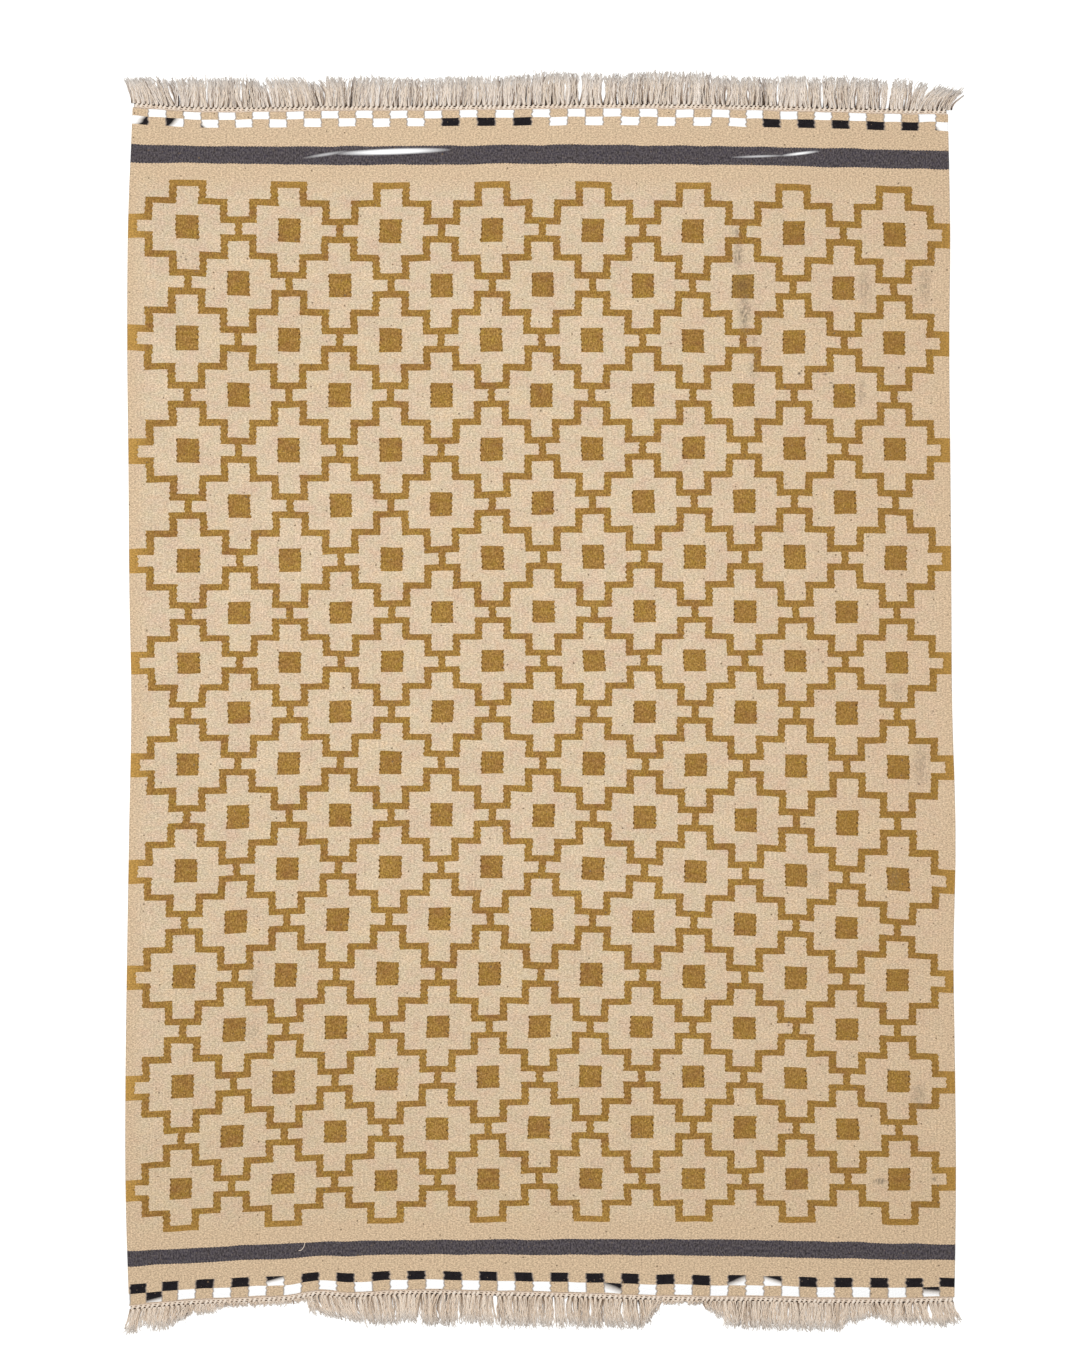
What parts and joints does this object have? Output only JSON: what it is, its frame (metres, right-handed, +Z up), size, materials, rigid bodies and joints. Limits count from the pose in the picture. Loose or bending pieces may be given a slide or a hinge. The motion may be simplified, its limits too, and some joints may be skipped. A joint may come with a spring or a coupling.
{
  "type": "kilim rug",
  "caption": "Flat-woven kilim rug lying flat, with a lattice of stepped diamonds, dark bars and check bands, and a twined edging with a loose warp fringe at each end.",
  "frame": {"origin": "on the floor under the middle of the whole rug, fringes included", "axes": "+X across the weft, +Y along the warp towards the fully fringed end, +Z up out of the patterned face"},
  "size_m": [1.4372, 2.1512, 0.005],
  "materials": {
    "woven_wool": "flat tapestry weave in beige, ochre and dark brown wool with visible warp ribs",
    "warp_yarn": "undyed loosely spun warp yarn"
  },
  "bodies": {
    "root": {"cloth": "woven_wool", "fringe_top": "warp_yarn", "fringe_bottom": "warp_yarn"}
  },
  "joints": []
}
